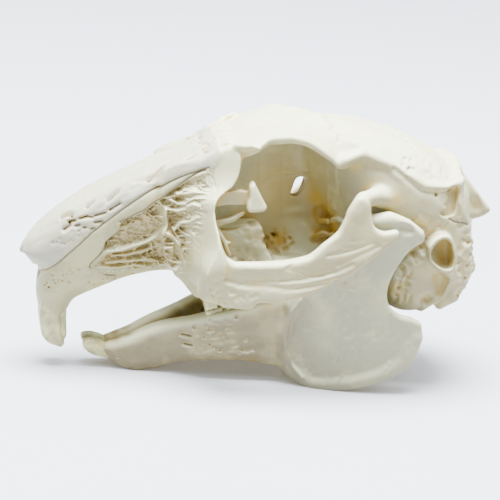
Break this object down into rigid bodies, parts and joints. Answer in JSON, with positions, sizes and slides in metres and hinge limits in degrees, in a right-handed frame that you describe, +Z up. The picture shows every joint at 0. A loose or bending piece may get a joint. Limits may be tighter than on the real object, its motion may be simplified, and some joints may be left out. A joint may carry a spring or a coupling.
{
  "type": "rabbit skull",
  "caption": "Cottontail rabbit skull with the lower jaw closed: long snout with a bony network, open orbits, cheek arches, ear tubes, incisors and cheek teeth.",
  "frame": {"origin": "on the resting surface, under the middle of the bounding box", "axes": "+Z up, nose towards -X, the left side of the animal towards -Y; XZ is the plane of symmetry"},
  "size_m": [0.0736, 0.0354, 0.0417],
  "materials": {
    "cranium_bone": "bleached bone, matte, with tan shade in its hollows",
    "jaw_bone": "bleached bone, matte to satin",
    "front_tooth": "enamel, satin",
    "cheek_tooth": "enamel, satin, stained at the gum line"
  },
  "bodies": {
    "root": {"cranium": "cranium_bone", "right_dentary": "jaw_bone", "right_upper_incisor": "front_tooth", "right_peg_tooth": "front_tooth", "right_lower_incisor": "front_tooth", "right_upper_cheek_tooth_1": "cheek_tooth", "right_upper_cheek_tooth_2": "cheek_tooth", "right_upper_cheek_tooth_3": "cheek_tooth", "right_upper_cheek_tooth_4": "cheek_tooth", "right_upper_cheek_tooth_5": "cheek_tooth", "right_upper_cheek_tooth_6": "cheek_tooth", "right_lower_cheek_tooth_1": "cheek_tooth", "right_lower_cheek_tooth_2": "cheek_tooth", "right_lower_cheek_tooth_3": "cheek_tooth", "right_lower_cheek_tooth_4": "cheek_tooth", "right_lower_cheek_tooth_5": "cheek_tooth", "left_dentary": "jaw_bone", "left_upper_incisor": "front_tooth", "left_peg_tooth": "front_tooth", "left_lower_incisor": "front_tooth", "left_upper_cheek_tooth_1": "cheek_tooth", "left_upper_cheek_tooth_2": "cheek_tooth", "left_upper_cheek_tooth_3": "cheek_tooth", "left_upper_cheek_tooth_4": "cheek_tooth", "left_upper_cheek_tooth_5": "cheek_tooth", "left_upper_cheek_tooth_6": "cheek_tooth", "left_lower_cheek_tooth_1": "cheek_tooth", "left_lower_cheek_tooth_2": "cheek_tooth", "left_lower_cheek_tooth_3": "cheek_tooth", "left_lower_cheek_tooth_4": "cheek_tooth", "left_lower_cheek_tooth_5": "cheek_tooth"}
  },
  "joints": []
}
